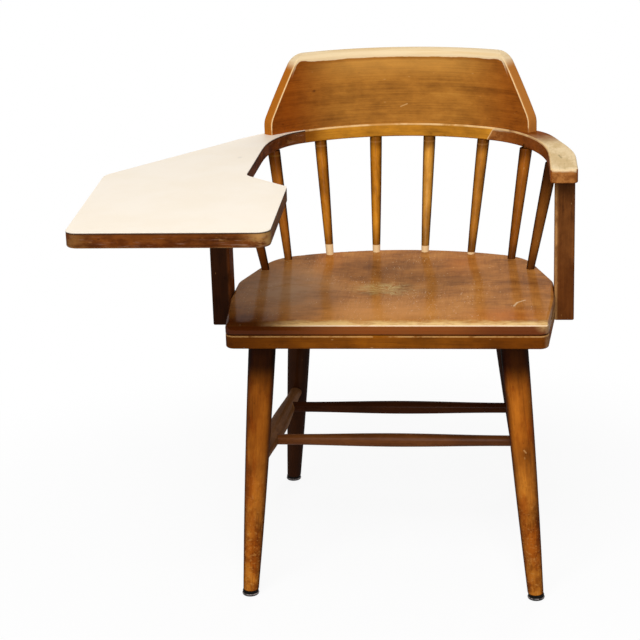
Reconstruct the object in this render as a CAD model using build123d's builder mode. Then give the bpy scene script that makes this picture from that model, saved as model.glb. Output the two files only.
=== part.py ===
from build123d import *
from math import cos, radians, sin
import os

# A windsor armchair with a fixed writing tablet in place of one arm.
# Millimetres: +X to the right, +Y to the back, +Z up. Left and right are as seen from the front.
# Pieces are drawn from the floor point in the chair's middle plane, and moved to the origin when written.

# ---------------------------------------------------------------- driving dimensions

# fits
glue_gap = 0.1                  # radial room round a tenon, dowel or nail
end_gap = 0.4                   # room at the bottom of a blind hole
same_place = 0.05               # places closer than this are the same

# seat
seat_bottom = 411.5
seat_base_thickness = 21.0
seat_top_thickness = 15.0
seat_half_width = 248.0         # at the arm posts
seat_front_half_width = 235.0
seat_front = 251.0
seat_rear = 174.0
seat_side_front = 108.0         # the straight run that the posts stand against
seat_side_rear = 16.0
seat_rear_corner_x = 209.0
seat_rear_corner_y = 122.0
seat_front_corner_radius = 14.0
seat_rear_corner_radius = 80.0
seat_side_blend_radius = 60.0
seat_edge_radius = 6.0          # upper edge of the slab
seat_base_edge_radius = 3.0     # lower edge of the base
seat_groove = 1.6               # shadow line between slab and base
seat_roll_length = 34.0         # rolled front of the slab
seat_roll_drop = 7.0
dish_radius = 168.0
dish_depth = 6.0
dish_centre_y = -38.0

# legs: insets of their tops from the seat's sides, front and rear, and how far the feet splay from there
front_leg_side_inset = 62.5
front_leg_inset = 38.5
front_leg_side_splay = 34.5
front_leg_splay = 3.0
rear_leg_side_inset = 85.0
rear_leg_inset = 56.0
rear_leg_side_splay = 42.0
rear_leg_splay = 133.0
leg_belly = 0.55                # how far up its length a leg reaches its middle radius
leg_foot_radius = 11.7
leg_middle_radius = 18.0
leg_top_radius = 20.4
leg_tenon_radius = 12.5
leg_tenon_length = 27.0
leg_foot_rounding = 2.5

# stretchers
side_stretcher_front_height = 211.0
side_stretcher_rear_height = 193.0
side_stretcher_middle_radius = 15.2
side_stretcher_end_radius = 9.8
side_stretcher_inset = 3.0      # from a leg's axis to the stretcher's end
cross_stretcher_front_y = -82.0
cross_stretcher_rear_y = 88.0
cross_stretcher_middle_radius = 10.8
cross_stretcher_end_radius = 8.4
cross_stretcher_inset = 3.0

# arm bow, its centre section and joints
bow_bottom = 620.5
bow_thickness = 22.0
bow_inner_radius = 285.0
bow_rear = 265.0                # inner face at the middle of the back
bow_width = 26.0
left_joint_angle = 34.0
right_joint_angle = 31.5
right_joint_slant = 31.0
joint_overlap_angle = 5.0       # the sections overlap round a slanted joint by up to this
bow_edge_radius = 2.5
bow_dowel_radius = 3.5
bow_dowel_length = 22.0
bow_dowel_spacing = 11.0

# right arm
arm_front = 97.0
arm_inner_overlap = 8.0         # its inner edge stands this far inside the seat's side
arm_width = 41.0
arm_straight_y = -10.0          # ahead of this the arm's edges run straight
arm_shoulder_inset = 24.0       # half way round to the bow its inner edge has come in by this
arm_inner_shoulder_y = 138.0
arm_shoulder_width = 42.0
arm_outer_shoulder_y = 120.0
arm_front_corner_radius = 7.0

# tablet
tablet_front = 457.0
tablet_front_left_x = 412.0
tablet_front_right_x = 135.5
tablet_neck_right_x = 142.5
tablet_neck_right_y = -195.0
tablet_neck_x = 213.0
tablet_neck_y = -119.0
tablet_left_x = 431.0
tablet_left_y = -111.0
tablet_arm_straight_y = 45.0
tablet_inner_shoulder_x = 199.0
tablet_inner_shoulder_y = 161.0
tablet_back_x = 300.0
tablet_back_y = 88.0
tablet_front_corner_radius = 18.0
tablet_neck_corner_radius = 13.0
tablet_neck_radius = 26.0
tablet_left_corner_radius = 45.0
laminate_thickness = 1.5

# crest rail
crest_thickness = 20.0
crest_height = 126.5
crest_setback = 2.5             # from the bow's inner face
crest_end_angle = 47.3
crest_slant_height = 22.0       # where the ends begin to lean inwards
crest_top_angle = 35.2
crest_corner_radius = 34.0
crest_heel_radius = 30.0
crest_front_radius = 3.0
crest_roll_radius = 13.0        # rolled front of the top edge
crest_rear_radius = 4.0
crest_dowel_radius = 4.0
crest_dowel_in_bow = 10.0
crest_dowel_in_crest = 18.0
crest_dowel_angles = (0.0, 18.0, 41.0)

# spindles, from the side to the middle
side_spindle_insets = (35.0, 65.0)              # feet of the two under the arm, from the seat's side
side_spindle_feet_y = (52.0, 114.0)
side_spindle_head_insets = (-6.0, 33.0)         # their heads, from the arm's inner edge where it is straight
side_spindle_heads_y = (52.0, 165.0)
back_spindle_feet_x = (117.0, 40.5)
back_spindle_setbacks = (29.0, 13.5)            # feet, from the rearmost point of the seat
back_spindle_angles = (27.4, 8.8)               # heads, round the bow
spindle_foot_radius = 6.2
spindle_middle_radius = 8.6
spindle_head_radius = 10.2
spindle_seat_depth = 22.0
spindle_tenon_radius = 5.0
spindle_tenon_length = 12.0
spindle_head_length = 7.0       # straight end under the bow
spindle_head_rounding = 1.2

# arm posts and their fixings
post_bottom = 400.0
post_thickness = 30.0
post_depth = 45.0
post_front_right = 72.0
post_front_left = 97.0
post_edge_radius = 3.5
post_end_radius = 1.5
post_tenon_radius = 8.0
post_tenon_length = 12.0
screw_spacing = 22.0
screw_radius = 2.2
screw_length = 46.0
screw_head_radius = 4.4
screw_head_height = 3.0
plug_radius = 5.0
plug_depth = 6.0

# glides
glide_height = 8.5
glide_base_height = 4.5
glide_radius = 13.1
glide_face_radius = 9.6
glide_rim_height = 3.4          # where the glide is widest
glide_shoulder = 1.1            # how far it draws in above that
cushion_radius = 12.2
nail_radius = 1.4
nail_length = 18.0

# ---------------------------------------------------------------- places worked out from them

seat_split = seat_bottom + seat_base_thickness
seat_surface = seat_split + seat_top_thickness
front_top_x = seat_half_width - front_leg_side_inset
front_top_y = front_leg_inset - seat_front
rear_top_x = seat_half_width - rear_leg_side_inset
rear_top_y = seat_rear - rear_leg_inset
arm_inner_x = seat_half_width - arm_inner_overlap
arm_outer_x = arm_inner_x + arm_width
arm_inner_shoulder_x = arm_inner_x - arm_shoulder_inset
arm_outer_shoulder_x = arm_inner_shoulder_x + arm_shoulder_width
bow_top = bow_bottom + bow_thickness
core_thickness = bow_thickness - laminate_thickness
bow_centre_y = bow_rear - bow_inner_radius
bow_outer_radius = bow_inner_radius + bow_width
bow_middle_radius = bow_inner_radius + bow_width / 2
crest_inner_radius = bow_inner_radius + crest_setback
crest_middle_radius = crest_inner_radius + crest_thickness / 2
bow_axis = Vector(0, bow_centre_y, 0)
reach = 2 * seat_half_width     # longer than anything that it cuts

# The origin lies on the floor, under the middle of the chair's overall box.
bow_rear_face = bow_centre_y + bow_outer_radius
to_origin = Location(
    ((tablet_left_x - arm_outer_x) / 2, (tablet_front - bow_rear_face) / 2, 0)
)


def on_bow(radius, angle, height):
    """Point on a circle round the bow's axis, with the angle from the middle of the back."""
    turn = radians(angle)
    return bow_axis + Vector(radius * sin(turn), radius * cos(turn), height)


def along_bow(angle):
    """Direction of the bow at an angle, towards +X."""
    return Vector(cos(radians(angle)), -sin(radians(angle)), 0)


def across_bow(angle):
    """Direction outwards from the bow's axis."""
    return Vector(sin(radians(angle)), cos(radians(angle)), 0)


def square_plane(start, end, distance=0.0):
    """Plane square to the line from start to end, at a distance along it."""
    along = (end - start).normalized()
    return Plane(origin=start + along * distance, z_dir=along)


def profile_plane(start, end):
    """Plane through the line from start to end: local X along it, local Y the radius."""
    along = (end - start).normalized()
    side = Vector(0, 0, 1) if abs(along.X) > abs(along.Z) else Vector(1, 0, 0)
    return Plane(origin=start, x_dir=along, z_dir=along.cross(side))


def bore(start, end, radius, distance, depth):
    """Cut a round hole along the line from start to end."""
    upright = (Align.CENTER, Align.CENTER, Align.MIN)
    with Locations(square_plane(start, end, distance)):
        Cylinder(radius, depth, align=upright, mode=Mode.SUBTRACT)


def write(piece, name):
    """Move a finished piece to the part's origin, label it and write it."""
    piece.part.move(to_origin)
    piece.part.label = name
    export_step(piece.part, f"parts/{name}.step")


os.makedirs("parts", exist_ok=True)

sides = {"left": -1, "right": 1}

leg_lines = {}
for side, sign in sides.items():
    leg_lines["front_" + side] = (
        Vector(sign * (front_top_x + front_leg_side_splay), front_top_y - front_leg_splay, 0),
        Vector(sign * front_top_x, front_top_y, seat_bottom),
    )
    leg_lines["rear_" + side] = (
        Vector(sign * (rear_top_x + rear_leg_side_splay), rear_top_y + rear_leg_splay, 0),
        Vector(sign * rear_top_x, rear_top_y, seat_bottom),
    )


def on_leg(name, height):
    """Point of a leg's axis at a height."""
    foot, top = leg_lines[name]
    return foot + (top - foot) * (height / seat_bottom)


side_lines = {
    side: (
        on_leg("rear_" + side, side_stretcher_rear_height),
        on_leg("front_" + side, side_stretcher_front_height),
    )
    for side in sides
}


def on_side_stretcher(side, y):
    """Point of a side stretcher's axis at a distance ahead of or behind the middle."""
    rear, front = side_lines[side]
    return rear + (front - rear) * ((y - rear.Y) / (front.Y - rear.Y))


cross_lines = {
    "front": [on_side_stretcher(side, cross_stretcher_front_y) for side in sides],
    "rear": [on_side_stretcher(side, cross_stretcher_rear_y) for side in sides],
}

half_row = []
for place in range(2):
    foot = Vector(seat_half_width - side_spindle_insets[place], side_spindle_feet_y[place], seat_surface)
    head_x = arm_inner_x - side_spindle_head_insets[place]
    half_row.append((foot, Vector(head_x, side_spindle_heads_y[place], bow_bottom)))
for place in range(2):
    foot = Vector(back_spindle_feet_x[place], seat_rear - back_spindle_setbacks[place], seat_surface)
    half_row.append((foot, on_bow(bow_middle_radius, back_spindle_angles[place], bow_bottom)))

# Numbered from the left: the left half is the right half seen in a mirror.
spindle_lines = [tuple(Vector(-end.X, end.Y, end.Z) for end in line) for line in half_row]
spindle_lines += reversed(half_row)

post_fronts = {"left": -post_front_left, "right": -post_front_right}


def post_middle(side):
    """Middle of a post's section, at the floor."""
    x = sides[side] * (seat_half_width + post_thickness / 2)
    return Vector(x, post_fronts[side] + post_depth / 2, 0)


screw_height = seat_bottom + seat_base_thickness / 2
screw_lines = []
for side, sign in sides.items():
    for offset in (-screw_spacing / 2, screw_spacing / 2):
        outside = Vector(
            sign * (seat_half_width + post_thickness),
            post_middle(side).Y + offset,
            screw_height,
        )
        screw_lines.append((outside, outside - Vector(sign * reach, 0, 0)))

crest_dowel_points = [
    on_bow(crest_middle_radius, sign * angle, bow_top)
    for angle in crest_dowel_angles
    for sign in ((1, -1) if angle else (1,))
]

bow_dowel_height = bow_bottom + core_thickness / 2
bow_dowel_lines = []
for angle in (-left_joint_angle, right_joint_angle):
    for offset in (-bow_dowel_spacing / 2, bow_dowel_spacing / 2):
        middle = on_bow(bow_middle_radius + offset, angle, bow_dowel_height)
        half = along_bow(angle) * (bow_dowel_length / 2)
        bow_dowel_lines.append((middle - half, middle + half))

# ---------------------------------------------------------------- seat

with BuildSketch() as seat_outline:
    with BuildLine():
        front = Line((-seat_front_half_width, -seat_front), (seat_front_half_width, -seat_front))
        right_front = Line(front @ 1, (seat_half_width, -seat_side_front))
        right_side = Line(right_front @ 1, (seat_half_width, -seat_side_rear))
        right_rear = Line(right_side @ 1, (seat_rear_corner_x, seat_rear_corner_y))
        rear = ThreePointArc(
            right_rear @ 1, (0, seat_rear), (-seat_rear_corner_x, seat_rear_corner_y)
        )
        left_rear = Line(rear @ 1, (-seat_half_width, -seat_side_rear))
        left_side = Line(left_rear @ 1, (-seat_half_width, -seat_side_front))
        left_front = Line(left_side @ 1, front @ 0)
    make_face()
    by_depth = seat_outline.vertices().group_by(Axis.Y)
    fillet(by_depth[0], seat_front_corner_radius)
    by_depth = seat_outline.vertices().group_by(Axis.Y)
    fillet(by_depth[-1], seat_rear_corner_radius)
    straight_ends = [
        corner
        for corner in seat_outline.vertices()
        if abs(corner.Y + seat_side_front) < 1 or abs(corner.Y + seat_side_rear) < 1
    ]
    fillet(straight_ends, seat_side_blend_radius)


def leg_sockets():
    """Cut the holes for the four leg tenons."""
    for foot, top in leg_lines.values():
        length = (top - foot).length
        bore(foot, top, leg_tenon_radius + glue_gap, length - leg_tenon_length,
             2 * leg_tenon_length + end_gap)


def spindle_sockets():
    """Cut the holes for the spindles' feet."""
    for foot, head in spindle_lines:
        depth = spindle_seat_depth + end_gap
        bore(foot, head, spindle_foot_radius + glue_gap, -depth, 2 * depth)


def screw_pilots():
    """Cut the pilot holes of the post screws."""
    for outside, inside in screw_lines:
        bore(outside, inside, screw_radius + glue_gap, 0, plug_depth + screw_length + end_gap)


with BuildPart() as seat_base:
    with BuildSketch(Plane.XY.offset(seat_bottom)):
        add(seat_outline.sketch)
    extrude(amount=seat_base_thickness)
    chamfer(seat_base.faces().sort_by(Axis.Z)[-1].edges(), seat_groove)
    fillet(seat_base.faces().sort_by(Axis.Z)[0].edges(), seat_base_edge_radius)
    leg_sockets()
    spindle_sockets()
    screw_pilots()
write(seat_base, "seat_base")

with BuildPart() as seat_top:
    with BuildSketch(Plane.XY.offset(seat_split)):
        add(seat_outline.sketch)
    extrude(amount=seat_top_thickness)
    fillet(seat_top.faces().sort_by(Axis.Z)[-1].edges(), seat_edge_radius)
    # The front edge rolls down in one long curve.
    with BuildSketch(Plane.YZ):
        with BuildLine():
            roll_back = (-seat_front + seat_roll_length, seat_surface)
            roll_front = (-seat_front, seat_surface - seat_roll_drop)
            roll = Spline(roll_back, roll_front, tangents=[(-1, 0), (-1, -1)])
            Polyline(
                roll @ 1,
                (-seat_front - seat_roll_drop, seat_surface - 2 * seat_roll_drop),
                (-seat_front - seat_roll_drop, seat_surface + seat_roll_drop),
                (-seat_front + seat_roll_length, seat_surface + seat_roll_drop),
                roll @ 0,
            )
        make_face()
    extrude(amount=reach, both=True, mode=Mode.SUBTRACT)
    chamfer(seat_top.faces().sort_by(Axis.Z)[0].edges(), seat_groove)
    # The dish is a shallow turned hollow that runs out into the flat rim without a crease.
    dish_axis = Vector(0, dish_centre_y, seat_surface)
    with BuildSketch(Plane(origin=dish_axis, x_dir=(1, 0, 0), z_dir=(0, -1, 0))):
        with BuildLine():
            hollow = Spline((0, -dish_depth), (dish_radius, 0), tangents=[(1, 0), (1, 0)])
            Polyline(hollow @ 1, (0, 0), hollow @ 0)
        make_face()
    revolve(axis=Axis(dish_axis, (0, 0, 1)), mode=Mode.SUBTRACT)
    leg_sockets()
    spindle_sockets()
write(seat_top, "seat_top")

# ---------------------------------------------------------------- legs and stretchers


def swelled(start, end, end_radius, middle_radius):
    """A turning that is thickest in the middle and has straight ends for its sockets."""
    length = (end - start).length
    straight = 2 * end_radius
    with BuildSketch(profile_plane(start, end)) as profile:
        with BuildLine():
            first = Line((0, 0), (0, end_radius))
            near = Line(first @ 1, (straight, end_radius))
            body = Spline(
                near @ 1, (length / 2, middle_radius), (length - straight, end_radius),
                tangents=[(1, 0), (1, 0)],
            )
            far = Line(body @ 1, (length, end_radius))
            last = Line(far @ 1, (length, 0))
            Line(last @ 1, first @ 0)
        make_face()
    revolve(profile.sketch, axis=Axis(start, end - start))


for name, (foot, top) in leg_lines.items():
    length = (top - foot).length
    beyond = leg_top_radius
    with BuildPart() as leg:
        with BuildSketch(profile_plane(foot, top)):
            with BuildLine():
                taper = Spline(
                    (0, leg_foot_radius), (length * leg_belly, leg_middle_radius), (length, leg_top_radius)
                )
                Polyline(
                    taper @ 1,
                    (length + beyond, leg_top_radius),
                    (length + beyond, 0),
                    (-beyond, 0),
                    (-beyond, leg_foot_radius),
                    taper @ 0,
                )
            make_face()
        revolve(axis=Axis(foot, top - foot))
        # Both ends are sawn level: the top stands against the seat, the foot on its glide.
        split(bisect_by=Plane.XY.offset(seat_bottom), keep=Keep.BOTTOM)
        split(bisect_by=Plane.XY.offset(glide_height), keep=Keep.TOP)
        fillet(leg.faces().sort_by(Axis.Z)[0].edges(), leg_foot_rounding)
        with BuildSketch(square_plane(foot, top, length - leg_tenon_length)):
            Circle(leg_tenon_radius)
        extrude(amount=2 * leg_tenon_length)
        row, side = name.split("_")
        rear, front = side_lines[side]
        near, far = (rear, front) if row == "rear" else (front, rear)
        bore(near, far, side_stretcher_end_radius + glue_gap, side_stretcher_inset - end_gap,
             2 * leg_top_radius)
        floor_point = Vector(foot.X, foot.Y, 0)
        bore(floor_point, floor_point + Vector(0, 0, 1), nail_radius + glue_gap, 0, nail_length + end_gap)
    write(leg, "leg_" + name)

for side, sign in sides.items():
    rear, front = side_lines[side]
    along = (front - rear).normalized()
    start = rear + along * side_stretcher_inset
    end = front - along * side_stretcher_inset
    with BuildPart() as stretcher:
        swelled(start, end, side_stretcher_end_radius, side_stretcher_middle_radius)
        for left, right in cross_lines.values():
            near, far = (left, right) if side == "left" else (right, left)
            bore(near, far, cross_stretcher_end_radius + glue_gap, cross_stretcher_inset - end_gap,
                 2 * side_stretcher_middle_radius)
    write(stretcher, "side_stretcher_" + side)

for row, (left, right) in cross_lines.items():
    along = (right - left).normalized()
    with BuildPart() as stretcher:
        swelled(left + along * cross_stretcher_inset, right - along * cross_stretcher_inset,
                cross_stretcher_end_radius, cross_stretcher_middle_radius)
    write(stretcher, "cross_stretcher_" + row)

# ---------------------------------------------------------------- spindles

for number, (foot, head) in enumerate(spindle_lines, start=1):
    length = (head - foot).length
    start = foot - (head - foot).normalized() * spindle_seat_depth
    beyond = spindle_seat_depth + length + spindle_head_radius
    with BuildPart() as spindle:
        with BuildSketch(profile_plane(start, head)):
            with BuildLine():
                foot_end = Line((0, 0), (0, spindle_foot_radius))
                in_seat = Line(foot_end @ 1, (spindle_seat_depth, spindle_foot_radius))
                body = Spline(
                    in_seat @ 1,
                    (spindle_seat_depth + length / 2, spindle_middle_radius),
                    (spindle_seat_depth + length - spindle_head_length, spindle_head_radius),
                )
                Polyline(body @ 1, (beyond, spindle_head_radius), (beyond, 0), foot_end @ 0)
            make_face()
        revolve(axis=Axis(start, head - start))
        # The head is sawn level, and stands against the bow's underside.
        split(bisect_by=Plane.XY.offset(bow_bottom), keep=Keep.BOTTOM)
        fillet(spindle.faces().filter_by(Axis.Z).edges(), spindle_head_rounding)
        with BuildSketch(square_plane(foot, head, length - spindle_tenon_length)):
            Circle(spindle_tenon_radius)
        extrude(amount=2 * spindle_tenon_length)
    write(spindle, f"spindle_{number}")

# ---------------------------------------------------------------- arm bow, right arm and tablet


def head_sockets():
    """Cut the blind holes for the spindles' top tenons."""
    for foot, head in spindle_lines:
        bore(foot, head, spindle_tenon_radius + glue_gap, (head - foot).length - spindle_tenon_length,
             2 * spindle_tenon_length + end_gap)


def post_socket(side):
    """Cut the blind hole for a post's tenon."""
    middle = post_middle(side)
    top = middle + Vector(0, 0, bow_bottom)
    bore(middle, top, post_tenon_radius + glue_gap, bow_bottom - post_tenon_length,
         2 * post_tenon_length + end_gap)


def joint_dowel_holes():
    """Cut the dowel holes across the bow's two joints."""
    for start, end in bow_dowel_lines:
        bore(start, end, bow_dowel_radius + glue_gap, -end_gap, bow_dowel_length + 2 * end_gap)


def crest_dowel_holes():
    """Cut the upright dowel holes between the bow and the crest rail."""
    for point in crest_dowel_points:
        bottom = point - Vector(0, 0, crest_dowel_in_bow)
        bore(bottom, point, crest_dowel_radius + glue_gap, -end_gap,
             crest_dowel_in_bow + crest_dowel_in_crest + 2 * end_gap)


# The right joint slants, so that the arm runs a little way under the centre section.
right_joint = on_bow(bow_middle_radius, right_joint_angle, bow_bottom + bow_thickness / 2)
slant = radians(right_joint_slant)
slant_normal = along_bow(right_joint_angle) * cos(slant) - Vector(0, 0, sin(slant))
right_joint_plane = Plane(origin=right_joint, z_dir=slant_normal)

with BuildPart() as bow_centre:
    with BuildSketch(Plane.XY.offset(bow_bottom)):
        with BuildLine():
            start, end = -left_joint_angle, right_joint_angle + joint_overlap_angle
            middle = (start + end) / 2
            inner = ThreePointArc(*[on_bow(bow_inner_radius, angle, 0) for angle in (start, middle, end)])
            outer = ThreePointArc(*[on_bow(bow_outer_radius, angle, 0) for angle in (end, middle, start)])
            Line(inner @ 1, outer @ 0)
            Line(outer @ 1, inner @ 0)
        make_face()
    extrude(amount=bow_thickness)
    split(bisect_by=right_joint_plane, keep=Keep.BOTTOM)
    fillet(bow_centre.edges().filter_by(GeomType.CIRCLE), bow_edge_radius)
    head_sockets()
    joint_dowel_holes()
    crest_dowel_holes()
write(bow_centre, "bow_centre")

with BuildPart() as arm_right:
    with BuildSketch(Plane.XY.offset(bow_bottom)) as arm_outline:
        with BuildLine():
            start, end = right_joint_angle - joint_overlap_angle, right_joint_angle
            inner_arc = ThreePointArc(
                *[on_bow(bow_inner_radius, angle, 0) for angle in (start, (start + end) / 2, end)]
            )
            inner_curve = Spline(
                inner_arc @ 1, (arm_inner_shoulder_x, arm_inner_shoulder_y),
                (arm_inner_x, arm_straight_y), tangents=[inner_arc % 1, (0, -1)],
            )
            inner_side = Line(inner_curve @ 1, (arm_inner_x, -arm_front))
            front_end = Line(inner_side @ 1, (arm_outer_x, -arm_front))
            outer_side = Line(front_end @ 1, (arm_outer_x, arm_straight_y))
            outer_arc = ThreePointArc(
                *[on_bow(bow_outer_radius, angle, 0)
                  for angle in (crest_end_angle, (crest_end_angle + start) / 2, start)]
            )
            Spline(
                outer_side @ 1, (arm_outer_shoulder_x, arm_outer_shoulder_y), outer_arc @ 0,
                tangents=[(0, 1), outer_arc % 0],
            )
            Line(outer_arc @ 1, inner_arc @ 0)
        make_face()
        fillet(arm_outline.vertices().group_by(Axis.Y)[0], arm_front_corner_radius)
    extrude(amount=bow_thickness)
    fillet(arm_right.faces().filter_by(Axis.Z).edges(), bow_edge_radius)
    split(bisect_by=right_joint_plane, keep=Keep.TOP)
    head_sockets()
    post_socket("right")
    joint_dowel_holes()
    crest_dowel_holes()
write(arm_right, "arm_right")

tablet_corners = (
    (tablet_neck_x, tablet_neck_y, tablet_neck_radius),
    (tablet_neck_right_x, tablet_neck_right_y, tablet_neck_corner_radius),
    (tablet_front_right_x, -tablet_front, tablet_front_corner_radius),
    (tablet_front_left_x, -tablet_front, tablet_front_corner_radius),
    (tablet_left_x, tablet_left_y, tablet_left_corner_radius),
)

with BuildSketch() as tablet_outline:
    with BuildLine():
        start, end = -left_joint_angle, -crest_end_angle
        joint_inner = on_bow(bow_inner_radius, start, 0)
        inner_curve = Spline(
            joint_inner, (-tablet_inner_shoulder_x, tablet_inner_shoulder_y),
            (-tablet_neck_x, tablet_arm_straight_y), tangents=[along_bow(start) * -1, (0, -1)],
        )
        edge = Polyline(
            inner_curve @ 1,
            (-tablet_neck_x, tablet_neck_y),
            (-tablet_neck_right_x, tablet_neck_right_y),
            (-tablet_front_right_x, -tablet_front),
            (-tablet_front_left_x, -tablet_front),
            (-tablet_left_x, tablet_left_y),
            (-tablet_back_x, tablet_back_y),
        )
        outer_arc = ThreePointArc(
            *[on_bow(bow_outer_radius, angle, 0) for angle in (end, (start + end) / 2, start)]
        )
        Spline(edge @ 1, outer_arc @ 0, tangents=[edge % 1, outer_arc % 0])
        Line(outer_arc @ 1, joint_inner)
    make_face()
    for x, y, radius in tablet_corners:
        corner = tablet_outline.vertices().sort_by_distance((-x, y))[0]
        fillet(corner, radius)

with BuildPart() as tablet_core:
    with BuildSketch(Plane.XY.offset(bow_bottom)):
        add(tablet_outline.sketch)
    extrude(amount=core_thickness)
    # The lower edge is rounded all round, but not where the core meets the bow's centre section.
    butt_joint = on_bow(bow_middle_radius, -left_joint_angle, bow_bottom)
    lower_edges = tablet_core.faces().sort_by(Axis.Z)[0].edges().sort_by_distance(butt_joint)
    fillet(lower_edges[1:], bow_edge_radius)
    head_sockets()
    post_socket("left")
    joint_dowel_holes()
    crest_dowel_holes()
write(tablet_core, "tablet_core")

with BuildPart() as tablet_laminate:
    with BuildSketch(Plane.XY.offset(bow_bottom + core_thickness)):
        add(tablet_outline.sketch)
    extrude(amount=laminate_thickness)
    crest_dowel_holes()
write(tablet_laminate, "tablet_laminate")

# ---------------------------------------------------------------- crest rail


def level_edges(rail):
    """The rail's straight level edges, at its ends, in groups from the lowest up."""
    straight = rail.edges().filter_by(GeomType.LINE)
    return straight.filter_by(lambda edge: abs((edge @ 1 - edge @ 0).Z) < same_place).group_by(Axis.Z)


def outline_edges(rail, radius):
    """The edges of the rail's front or rear face, without the bottom one."""
    edges = []
    for edge in rail.edges():
        points = [edge @ share for share in (0, 0.5, 1)]
        distances = [(Vector(point.X, point.Y, 0) - bow_axis).length for point in points]
        on_face = all(abs(distance - radius) < same_place for distance in distances)
        if on_face and points[1].Z > bow_top + same_place:
            edges.append(edge)
    return edges


with BuildPart() as crest_rail:
    end_plane = Plane(
        origin=bow_axis, x_dir=across_bow(-crest_end_angle), z_dir=along_bow(-crest_end_angle)
    )
    with BuildSketch(end_plane):
        with Locations((crest_middle_radius, bow_top + crest_height / 2)):
            Rectangle(crest_thickness, crest_height)
    revolve(axis=Axis(bow_axis, (0, 0, -1)), revolution_arc=2 * crest_end_angle)
    # Above a short upright heel each end leans inwards, square to the curved board.
    for sign in (-1, 1):
        heel = on_bow(crest_inner_radius, sign * crest_end_angle, bow_top + crest_slant_height)
        tip = on_bow(crest_inner_radius, sign * crest_top_angle, bow_top + crest_height)
        square_off = across_bow(sign * crest_end_angle)
        end_cut = Plane(origin=heel, x_dir=square_off, z_dir=(tip - heel).cross(square_off) * sign)
        split(bisect_by=end_cut, keep=Keep.TOP)
    fillet(level_edges(crest_rail)[-1], crest_corner_radius)
    fillet(level_edges(crest_rail)[1], crest_heel_radius)
    fillet(outline_edges(crest_rail, crest_inner_radius), crest_front_radius)
    # The front of the top edge is rolled over along the whole rail.
    roll_corner = (crest_inner_radius, bow_top + crest_height)
    with BuildSketch(end_plane):
        with Locations(roll_corner):
            Rectangle(2 * crest_roll_radius, 2 * crest_roll_radius)
        with Locations((roll_corner[0] + crest_roll_radius, roll_corner[1] - crest_roll_radius)):
            Circle(crest_roll_radius, mode=Mode.SUBTRACT)
    revolve(axis=Axis(bow_axis, (0, 0, -1)), revolution_arc=2 * crest_end_angle, mode=Mode.SUBTRACT)
    fillet(outline_edges(crest_rail, crest_inner_radius + crest_thickness), crest_rear_radius)
    crest_dowel_holes()
write(crest_rail, "crest_rail")

# ---------------------------------------------------------------- arm posts

for side, sign in sides.items():
    middle = post_middle(side)
    with BuildPart() as post:
        with BuildSketch(Plane.XY.offset(post_bottom)):
            with Locations((middle.X, middle.Y)):
                Rectangle(post_thickness, post_depth)
        extrude(amount=bow_bottom - post_bottom)
        fillet(post.edges().filter_by(Axis.Z), post_edge_radius)
        fillet(post.faces().sort_by(Axis.Z)[0].edges(), post_end_radius)
        with BuildSketch(Plane.XY.offset(bow_bottom)):
            with Locations((middle.X, middle.Y)):
                Circle(post_tenon_radius)
        extrude(amount=post_tenon_length)
        for outside, inside in screw_lines:
            bore(outside, inside, plug_radius + glue_gap, 0, plug_depth + screw_head_height)
            bore(outside, inside, screw_radius + glue_gap, 0, post_thickness)
    write(post, "arm_post_" + side)

# ---------------------------------------------------------------- dowels, screws and plugs

with BuildPart() as bow_dowels:
    for start, end in bow_dowel_lines:
        with BuildSketch(square_plane(start, end)):
            Circle(bow_dowel_radius)
        extrude(amount=bow_dowel_length)
write(bow_dowels, "bow_dowels")

with BuildPart() as crest_dowels:
    for point in crest_dowel_points:
        with BuildSketch(Plane(origin=point - Vector(0, 0, crest_dowel_in_bow))):
            Circle(crest_dowel_radius)
        extrude(amount=crest_dowel_in_bow + crest_dowel_in_crest)
write(crest_dowels, "crest_dowels")

with BuildPart() as post_screws:
    for outside, inside in screw_lines:
        with BuildSketch(square_plane(outside, inside, plug_depth)):
            Circle(screw_head_radius)
        extrude(amount=screw_head_height)
        with BuildSketch(square_plane(outside, inside, plug_depth)):
            Circle(screw_radius)
        extrude(amount=screw_length)
write(post_screws, "post_screws")

with BuildPart() as post_plugs:
    for outside, inside in screw_lines:
        with BuildSketch(square_plane(outside, inside)):
            Circle(plug_radius)
        extrude(amount=plug_depth)
write(post_plugs, "post_plugs")

# ---------------------------------------------------------------- glides

for name, (foot, top) in leg_lines.items():
    floor_point = Vector(foot.X, foot.Y, 0)
    glide_profile = Plane(origin=floor_point, x_dir=(1, 0, 0), z_dir=(0, -1, 0))
    with BuildPart() as glide:
        with BuildSketch(glide_profile):
            with BuildLine():
                face = Line((0, 0), (glide_face_radius, 0))
                rim = Spline(face @ 1, (glide_radius, glide_rim_height), tangents=[(1, 0), (0, 1)])
                Polyline(
                    rim @ 1,
                    (glide_radius - glide_shoulder, glide_base_height),
                    (nail_radius, glide_base_height),
                    (nail_radius, nail_length),
                    (0, nail_length),
                    face @ 0,
                )
            make_face()
        revolve(axis=Axis(floor_point, (0, 0, 1)))
    write(glide, "glide_" + name)
    with BuildPart() as cushion:
        with BuildSketch(Plane(origin=floor_point).offset(glide_base_height)):
            Circle(cushion_radius)
            Circle(nail_radius + glue_gap, mode=Mode.SUBTRACT)
        extrude(amount=glide_height - glide_base_height)
        fillet(cushion.edges().sort_by(SortBy.LENGTH)[-2:], (glide_height - glide_base_height) / 3)
    write(cushion, "cushion_" + name)
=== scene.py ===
import math

import bpy
from mathutils import Matrix, Vector


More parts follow.
